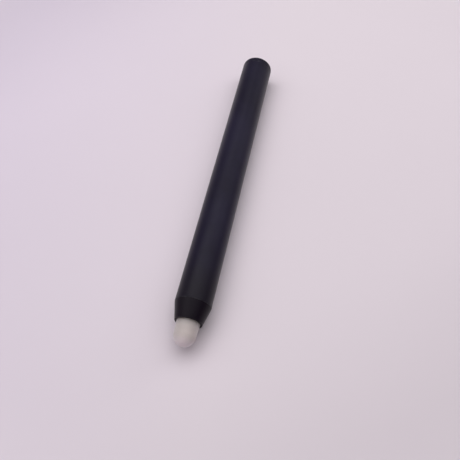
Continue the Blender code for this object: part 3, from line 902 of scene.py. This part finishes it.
# ================================================================ chassis and cover
DISC, TROUGH_0, TROUGH_1, BULKHEAD = 21.40, 22.65, SHOULDER - 1.50, SHOULDER - 0.10
STEM_FACE, MODULE_R, TROUGH_R = at("chassis", 0), 5.70, 4.90
PCB_TOP, PCB_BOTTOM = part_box("circuit_board")[1].z / MM - AXIS_Z / MM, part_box("circuit_board")[0].z / MM - AXIS_Z / MM
RIM_Z = PCB_BOTTOM - 0.05
chassis = lathe("chassis_moulding", rounded([
    (STEM_FACE, 0.0), (STEM_FACE, 3.15, 0.12), (DISC, 3.15), (DISC, MODULE_R, 0.10),
    (BULKHEAD, MODULE_R, 0.10), (BULKHEAD, 0.0),
], closed=False), 96)
rim = degrees(asin(-RIM_Z / TROUGH_R))
apply_boolean(chassis, cutter_prism(
    [(-7.0, RIM_Z)] + arc(TROUGH_R, 180 + rim, 360 - rim, 32) + [(7.0, RIM_Z), (7.0, 7.0), (-7.0, 7.0)],
    TROUGH_0, TROUGH_1))
apply_boolean(chassis, cutter_box((-1.6, 1.6), (21.0, 23.0), (3.70, 7.0)))
apply_boolean(chassis, cutter_box((4.05, 7.0), (21.0, 23.0), (-0.45, 0.40)))
for side in (-1, 1):
    apply_boolean(chassis, cutter_prism(arc(0.42, 0, 345, 23, (side * 1.27, 0.0)), 14.0, 23.2))
apply_boolean(chassis, cutter_prism(arc(1.10, 0, 351, 39), TROUGH_1 - 0.3, BULKHEAD + 0.3))
soften(chassis, 0.07, shortest=0.04)
grey_plastic.give(claim(chassis, "root", "chassis"))

COVER_Z = PCB_TOP + 0.05
outer_a, inner_a = degrees(asin(COVER_Z / MODULE_R)), degrees(asin(COVER_Z / TROUGH_R))
cover = new_piece(
    "cover_moulding", "root", "chassis_cover",
    lambda bm: prism_into(bm, arc(MODULE_R, outer_a, 180 - outer_a, 64)
                          + arc(TROUGH_R, 180 - inner_a, inner_a, 56), TROUGH_0 + 0.05, TROUGH_1 - 0.05),
)
grey_plastic.give(soften(cover, 0.09))

# ================================================================ contacts
ring = new_piece(
    "ground_contact", "root", "ground_ring",
    lambda bm: prism_into(bm, arc(5.65, 112, 428, 80) + arc(4.20, 428, 112, 64), 21.05, 21.30),
)
apply_boolean(ring, cutter_box((4.22, 4.75), (21.1, 25.2), (PCB_TOP + 0.05, 0.15)), "UNION")
gold_brass.give(soften(ring, 0.035))

RIVET = TROUGH_1 - 1.45
rivet = lathe("positive_rivet", rounded([
    (RIVET, 0.0), (RIVET, 1.0, 0.10), (BULKHEAD + 0.07, 1.0), (BULKHEAD + 0.07, 2.0, 0.07),
    (SHOULDER + 0.20, 2.0, 0.10), (SHOULDER + 0.35, 1.6, 0.25), (SHOULDER + 0.35, 0.0),
], closed=False), 72)
apply_boolean(rivet, cutter_box((-0.7, 0.7), (RIVET - 1.9, RIVET + 0.5), (PCB_TOP + 0.05, 0.25)), "UNION")
gold_brass.give(claim(soften(rivet, 0.04), "root", "positive_contact"))

# ================================================================ board
B0, B1 = at("circuit_board", 0), at("circuit_board", 1)
board = new_piece(
    "board_laminate", "root", "circuit_board",
    lambda bm: pad_into(bm, -5.20, 5.20, B0, B1, PCB_BOTTOM, PCB_TOP, 0.5, 0.03), 30,
)
mask.give(board)

# Tracks stand a little proud under the resist, and the pads are bare and tinned.
TRACK = (PCB_TOP - 0.01, PCB_TOP + 0.018)
PAD = (PCB_TOP - 0.01, PCB_TOP + 0.030)
tracks = (
    ([(-1.27, 25.3), (-2.45, 26.6), (-2.45, 31.3)], 0.45),
    ([(1.27, 25.3), (2.50, 26.6), (2.50, 31.4)], 0.45),
    ([(4.50, 24.6), (4.50, 40.6), (3.40, 41.7), (1.35, 41.7)], 0.60),
    ([(-2.50, 33.7), (-2.50, 34.6), (-1.20, 35.9)], 0.35),
    ([(2.50, 33.7), (2.50, 34.6), (1.20, 35.9)], 0.35),
    ([(0.0, 37.8), (0.0, 43.9)], 0.70),
    ([(-4.40, 27.0), (-4.40, 39.5), (-3.40, 40.5), (-2.1, 40.5)], 0.35),
    ([(3.55, 28.6), (3.72, 29.2), (3.72, 35.2), (2.9, 36.2), (2.9, 38.6)], 0.30),
)
copper = new_piece(
    "board_tracks", "root", None,
    lambda bm: [strip_into(bm, p, w, *TRACK) for p, w in tracks] and None, 30,
)
trace_mask.give(copper)
pads = (
    (-1.75, -0.79, 24.6, 26.1), (0.79, 1.75, 24.6, 26.1), (4.05, 4.95, 23.7, 25.5),
    (-3.30, -1.75, 31.2, 32.1), (-3.30, -1.75, 33.1, 34.0), (1.75, 3.30, 31.2, 32.1), (1.75, 3.30, 33.1, 34.0),
    (-1.30, -0.60, 35.3, 36.3), (0.60, 1.30, 35.3, 36.3), (-0.40, 0.40, 37.4, 38.5),
    (-1.05, 1.05, 43.05, 44.6), (-3.05, -2.25, 26.5, 27.2), (2.25, 3.05, 26.5, 27.2),
    (-3.05, -2.25, 28.7, 29.4), (2.25, 3.05, 28.7, 29.4),
    (-4.75, -4.05, 26.4, 27.3), (3.2, 3.9, 28.1, 28.9),
    (0.95, 1.55, 41.40, 42.00), (-2.30, -1.70, 40.20, 40.80), (2.60, 3.20, 38.40, 39.00),
)
pad_piece = new_piece(
    "board_pads", "root", None,
    lambda bm: [pad_into(bm, *p, *PAD, 0.14, 0.008) for p in pads] and None, 30,
)
tin.give(pad_piece)


def joints(bm):
    z = PAD[1] - 0.004
    for x0, x1 in ((-3.10, -1.95), (1.95, 3.10)):
        fillet_into(bm, x0, x1, 31.60, -1, z, 0.34, 0.34)
        fillet_into(bm, x0, x1, 33.60, 1, z, 0.34, 0.34)
    for x in (-0.95, 0.95):
        fillet_into(bm, x - 0.24, x + 0.24, 35.60, -1, z, 0.12, 0.26)
    fillet_into(bm, -0.24, 0.24, 38.10, 1, z, 0.12, 0.30)
    for x in (-1.27, 1.27):
        fillet_into(bm, x - 0.36, x + 0.36, 25.60, 1, z, 0.30, 0.42)
    fillet_into(bm, -0.85, 0.85, 43.30, -1, z, 0.10, 0.20)


solder.give(new_piece("solder_joints", "root", None, joints, 40))

# ================================================================ parts on the board
ON = PCB_TOP + 0.05


def chip_ends(bm, x0, x1, z1):
    for a, b in ((31.60, 31.97), (33.23, 33.60)):
        box_into(bm, (x0, x1), (a, b), (ON, z1), 0.05, 2)


resistor = new_piece(
    "resistor_body", "root", "resistor",
    lambda bm: box_into(bm, (1.93, 3.12), (31.94, 33.26), (ON + 0.03, ON + 0.40), 0.02, 1), 40,
)
alumina.give(resistor)
compound.give(new_piece(
    "resistor_film", "root", "resistor",
    lambda bm: pad_into(bm, 1.97, 3.08, 31.98, 33.22, ON + 0.395, ON + 0.48, 0.08, 0.03), 40,
))
tin.give(new_piece(
    "resistor_ends", "root", "resistor", lambda bm: chip_ends(bm, 1.90, 3.15, ON + 0.45), 40,
))
tan_ceramic.give(new_piece(
    "capacitor_body", "root", "capacitor",
    lambda bm: box_into(bm, (-3.12, -1.93), (31.94, 33.26), (ON + 0.03, ON + 0.82), 0.05, 2), 40,
))
tin.give(new_piece(
    "capacitor_ends", "root", "capacitor", lambda bm: chip_ends(bm, -3.15, -1.90, ON + 0.85), 40,
))


def transistor_body(bm):
    """Drafted both ways from the parting line of its mould."""
    rings = []
    for z, d in ((ON + 0.10, 0.13), (ON + 0.13, 0.10), (ON + 0.48, 0.0), (ON + 0.56, 0.0),
                 (ON + 1.04, 0.11), (ON + 1.08, 0.13), (ON + 1.10, 0.17)):
        rings.append([to_row(x, s, z) for x, s in rrect(-1.45, 1.45, 36.2, 37.5, 0.12, d)])
    loft_into(bm, rings)


def transistor_legs(bm):
    for x, s_body, s_end in ((-0.95, 36.35, 35.60), (0.95, 36.35, 35.60), (0.0, 37.35, 38.10)):
        u = 1 if s_end > s_body else -1
        path = [(s_body, 0.02), (s_body + u * 0.28, 0.02), (s_body + u * 0.42, -0.10), (s_end, -0.125)]
        t = 0.12
        rings = []
        for i, (s, z) in enumerate(path):
            rings.append([to_row(x - 0.19, s, z), to_row(x + 0.19, s, z),
                          to_row(x + 0.19, s, z - t), to_row(x - 0.19, s, z - t)])
        loft_into(bm, rings)


compound.give(new_piece("transistor_body", "root", "transistor", transistor_body, 25))
tin.give(new_piece("transistor_legs", "root", "transistor", transistor_legs, 25))

# Side-push switch: moulded base, folded steel cover held by a tab each side, four legs.
switch_base = new_piece(
    "switch_base", "root", "switch_body",
    lambda bm: box_into(bm, (-2.02, 2.02), (26.26, 29.55), (ON + 0.05, 2.62), 0.10, 3), 40,
)
apply_boolean(switch_base, cutter_box((-0.95, 0.95), (25.5, 27.8), (0.75, 2.15)))
housing_plastic.give(soften(switch_base, 0.03))
switch_cover = new_piece(
    "switch_cover", "root", "switch_body",
    lambda bm: box_into(bm, (-2.20, 2.20), (26.45, 29.60), (1.55, 2.90), 0.12, 3), 40,
)
apply_boolean(switch_cover, cutter_box((-2.06, 2.06), (26.0, 30.0), (1.0, 2.66)))
apply_boolean(switch_cover, cutter_box((-3.0, 3.0), (26.0, 27.15), (1.0, 2.40)))
apply_boolean(switch_cover, cutter_box((-3.0, 3.0), (28.85, 30.0), (1.0, 2.40)))
stainless.give(soften(switch_cover, 0.03))


def switch_legs(bm):
    for side in (-1, 1):
        for s in (26.75, 29.05):
            foot = rounded([
                (1.60, ON, 0.03), (2.19, ON, 0.12), (2.19, ON + 0.75, 0.03),
                (2.03, ON + 0.75, 0.03), (2.03, ON + 0.14, 0.05), (1.60, ON + 0.14, 0.03),
            ])
            prism_into(bm, [(side * x, z) for x, z in foot], s - 0.26, s + 0.26)


tin.give(new_piece("switch_legs", "root", "switch_body", switch_legs, 40))


def button(bm):
    rings = []
    for s, d in ((24.90, 0.30), (24.915, 0.18), (24.97, 0.08), (25.07, 0.02), (25.20, 0.0), (27.00, 0.0), (27.05, 0.05)):
        z0, z1 = 0.90 + d, 2.00 - d
        x0, x1 = -0.80 + d, 0.80 - d
        r = 0.14
        ring = []
        for cx, cz, a0 in ((x1 - r, z0 + r, -90), (x1 - r, z1 - r, 0), (x0 + r, z1 - r, 90), (x0 + r, z0 + r, 180)):
            ring += [to_row(cx + r * cos(radians(a0 + 22.5 * k)), s, cz + r * sin(radians(a0 + 22.5 * k))) for k in range(5)]
        rings.append(ring)
    loft_into(bm, rings)


black_plastic.give(new_piece("button_moulding", "button", "switch_button", button, 40))

# ================================================================ LED
LED_TOP, LED_BACK = at("ir_led", 0), at("ir_led", 1)
lens_loop = [
    (LED_TOP + 2.5 - 2.5 * cos(a), 2.5 * sin(a)) for a in (pi / 2 * k / 24 for k in range(25))
]
lens_loop[0] = (LED_TOP, 0.0)
lens_loop += rounded([
    (LED_BACK - 1.0, 2.495), (LED_BACK - 1.0, 2.9, 0.12), (LED_BACK, 2.9, 0.15), (LED_BACK, 0.0),
], closed=False)[1:]
lens_loop.insert(25, (LED_BACK - 1.0, 2.495))
lens = lathe("led_lens", lens_loop, 96)
apply_boolean(lens, cutter_box((2.58, 4.0), (LED_BACK - 1.2, LED_BACK + 0.5), (-4.0, 4.0)))
epoxy.give(claim(lens, "root", "ir_led"))


def lead_frame(bm):
    """Reflector cup on the cathode post, and the anode post beside it."""
    cup = [(9.70, 0.82), (9.70, 0.95), (10.85, 0.95), (10.95, 0.85), (10.95, 0.0), (10.28, 0.0), (10.28, 0.36)]
    lathe_into(bm, cup, 48)
    box_into(bm, (0.30, 1.50), (10.90, 12.1), (-0.22, 0.22), 0.05, 2)
    box_into(bm, (1.06, 1.48), (12.0, LED_BACK - 0.02), (-0.20, 0.20), 0.05, 2)
    box_into(bm, (-1.50, -1.04), (10.2, LED_BACK - 0.02), (-0.22, 0.22), 0.05, 2)
    box_into(bm, (-1.62, -1.02), (9.95, 10.5), (-0.22, 0.22), 0.05, 2)


tin.give(new_piece("led_frame", "root", None, lead_frame, 40))
compound.give(new_piece(
    "led_die", "root", None,
    lambda bm: box_into(bm, (-0.17, 0.17), (10.06, 10.275), (-0.17, 0.17), 0.015, 1), 40,
))
gold.give(new_piece(
    "led_bond_wire", "root", None,
    lambda bm: tube_into(bm, [
        to_row(-1.25 + 1.25 * t, 9.93 + 0.12 * t - 2.0 * t * (1 - t), 0.0) for t in (k / 16 for k in range(17))
    ], 0.02, 8), 60,
))
for side, label in ((-1, "anode"), (1, "cathode")):
    lead = new_piece(
        f"led_leg_{label}", "root", f"led_lead_{label}",
        lambda bm, side=side: box_into(bm, (side * 1.27 - 0.25, side * 1.27 + 0.25), (STEM_FACE, 25.6),
                                       (-0.25, 0.25), 0.06, 3), 40,
    )
    tin.give(lead)

# ================================================================ cells
for name in ("front", "rear"):
    node = f"cell_{name}"
    s0 = at(node, 0)
    s1 = at(node, 1)
    can = lathe(f"cell_{name}_can", rounded([
        (s0, 0.0), (s0, 1.72, 0.22), (s0 + 0.93, 1.84, 0.10), (s0 + 1.04, 2.30, 0.08), (s0 + 1.04, 3.70, 0.05),
        (s0 + 1.16, 3.90, 0.08), (s0 + 1.16, 4.30, 0.08), (s0 + 1.06, 4.45, 0.06), (s0 + 1.06, 4.72, 0.10),
        (s0 + 1.34, 5.08, 0.2),
        (s1 - 0.50, 5.08, 0.2), (s1 - 0.22, 4.78, 0.10), (s1 - 0.22, 4.32, 0.06), (s1 - 0.42, 4.22, 0.06),
        (s1 - 0.42, 3.98, 0.06), (s1 - 0.03, 3.78, 0.10), (s1, 3.55, 0.1), (s1, 0.0),
    ], closed=False), 96)
    plated_steel.give(claim(can, "root", node))
    bm = bmesh.new()
    film = rounded([
        (s0 + 1.00, 4.45), (s0 + 0.98, 4.80, 0.10), (s0 + 1.28, 5.17, 0.15), (s1 - 0.47, 5.17, 0.15),
        (s1 - 0.16, 4.86, 0.10), (s1 - 0.17, 4.50), (s1 - 0.205, 4.50), (s1 - 0.205, 4.82, 0.08),
        (s1 - 0.50, 5.12, 0.12), (s0 + 1.32, 5.12, 0.12), (s0 + 1.04, 4.79, 0.08), (s0 + 1.04, 4.45),
    ])
    lathe_into(bm, densify(film, 6.0), 128)
    for v in bm.verts:
        # The film laps over itself along one line.
        r = sqrt((v.co.x) ** 2 + (v.co.z - AXIS_Z) ** 2) / MM
        a = degrees(atan2(v.co.x, v.co.z - AXIS_Z)) % 360
        if r > 5.13 and 200 <= a <= 226:
            k = (r + 0.022) / r
            v.co.x, v.co.z = v.co.x * k, AXIS_Z + (v.co.z - AXIS_Z) * k
    film_obj = claim(finish_mesh(f"cell_{name}_film", bm, 50), "root", node)
    jacket_finish(f"cell_{name}_jacket", s0).give(film_obj)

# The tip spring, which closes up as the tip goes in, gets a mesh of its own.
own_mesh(tip_spring)


# ================================================================ floor and light
bm = bmesh.new()
bmesh.ops.create_grid(bm, x_segments=2, y_segments=2, size=12.0)
floor = finish_mesh("floor", bm, weighted=False)
floor.location.z = CAD_BOX[0].z
HORIZON = (0.700, 0.622, 0.684)
paper = Mat("floor_with_painted_shade", (0.70, 0.63, 0.68), 0.75)
paper.set("Specular IOR Level", 0.2)
px, py, _ = paper.node("ShaderNodeSeparateXYZ", {"Vector": paper.coords}).outputs


def painted_falloff_shade(x, y, start, end, amount):
    """Painted shade on the floor: 1 up to start metres from the middle in the direction (x, y), falling by amount
    at end.
    """
    d = paper.math("ADD", paper.math("MULTIPLY", px, x), paper.math("MULTIPLY", py, y))
    return paper.span(d, start, end, 1.0, 1.0 - amount, True)


# Painted shade: the floor is a little darker and bluer towards -x, and the two calls below darken it further in two
# directions away from the pen, where the lamps' light falls off.
tone = paper.mix(paper.span(px, -0.13, 0.01), (0.686, 0.600, 0.706), (0.712, 0.634, 0.690))
tone = paper.shade(tone, paper.span(paper.noise(9.0, 3.0, 0.5), 0.3, 0.7, 0.99, 1.01))
tone = paper.shade(tone, painted_falloff_shade(-0.82, 0.57, 0.09, 0.21, 0.12))
tone = paper.shade(tone, painted_falloff_shade(0.73, -0.68, 0.05, 0.15, 0.10))
# The floor goes on, evenly pale, to the horizon: away from the pen it takes over the
# brightness that the lamps no longer give it.
qy = paper.math("SUBTRACT", py, 0.05)
far = paper.span(
    paper.math("SQRT", paper.math("ADD", paper.math("MULTIPLY", px, px), paper.math("MULTIPLY", qy, qy))),
    0.150, 0.225, 0.0, 1.0, True,
)
paper.link(paper.shade(tone, paper.math("SUBTRACT", 1.0, far)), "Base Color")
paper.set("Emission Color", (*HORIZON, 1.0))
paper.link(far, "Emission Strength")
paper.bump(paper.noise(1800.0, 2.0, 0.5), 0.010, 0.2)
paper.give(floor)

world = bpy.data.worlds.new("studio")
scene.world = world
world.use_nodes = True
background = world.node_tree.nodes["Background"]
background.inputs["Color"].default_value = (*HORIZON, 1.0)
# The sky above the floor is as pale as the floor, and adds almost no light of its own.
light_path = world.node_tree.nodes.new("ShaderNodeLightPath")
seen = world.node_tree.nodes.new("ShaderNodeMapRange")
seen.inputs["To Min"].default_value, seen.inputs["To Max"].default_value = 0.03, 1.0
world.node_tree.links.new(light_path.outputs["Is Camera Ray"], seen.inputs["Value"])
world.node_tree.links.new(seen.outputs["Result"], background.inputs["Strength"])


def area(name, azimuth, elevation, size, watts, colour=(1, 1, 1), reach=1.0):
    """A soft round lamp, reach metres from the pen. Azimuth 0 is behind the tail and 90 is on +X."""
    light = bpy.data.lights.new(name, "AREA")
    light.shape, light.size, light.energy, light.color = "DISK", size, watts, colour
    obj = bpy.data.objects.new(name, light)
    scene.collection.objects.link(obj)
    a, e = radians(azimuth), radians(elevation)
    place = Vector((sin(a) * cos(e), cos(a) * cos(e), sin(e))) * reach
    obj.location = place
    obj.rotation_mode = "QUATERNION"
    obj.rotation_quaternion = (Vector((0, 0, 0.005)) - place).to_track_quat("-Z", "Y")
    return obj


# A bright room: a soft ceiling, windows to the left and behind, a little from the right.
for name, azimuth, elevation, size, watts, reach in (
    ("ceiling", 0, 90, 0.70, 2.10, 0.7),
    ("back", 0, 55, 0.60, 2.10, 1.0),
    ("back_left", 315, 55, 0.60, 2.00, 1.0),
    ("left_window", 270, 55, 0.60, 2.05, 1.0),
    ("left_low", 270, 30, 0.60, 1.00, 1.0),
    ("front_left", 225, 42, 0.60, 0.90, 1.0),
    ("back_right", 45, 55, 0.60, 1.45, 1.0),
    ("back_right_low", 45, 30, 0.60, 1.60, 1.0),
    ("right_fill", 90, 50, 0.60, 0.85, 1.0),
):
    area(name, azimuth, elevation, size, 0.85 * watts, reach=reach)

scene.view_settings.view_transform = "Standard"
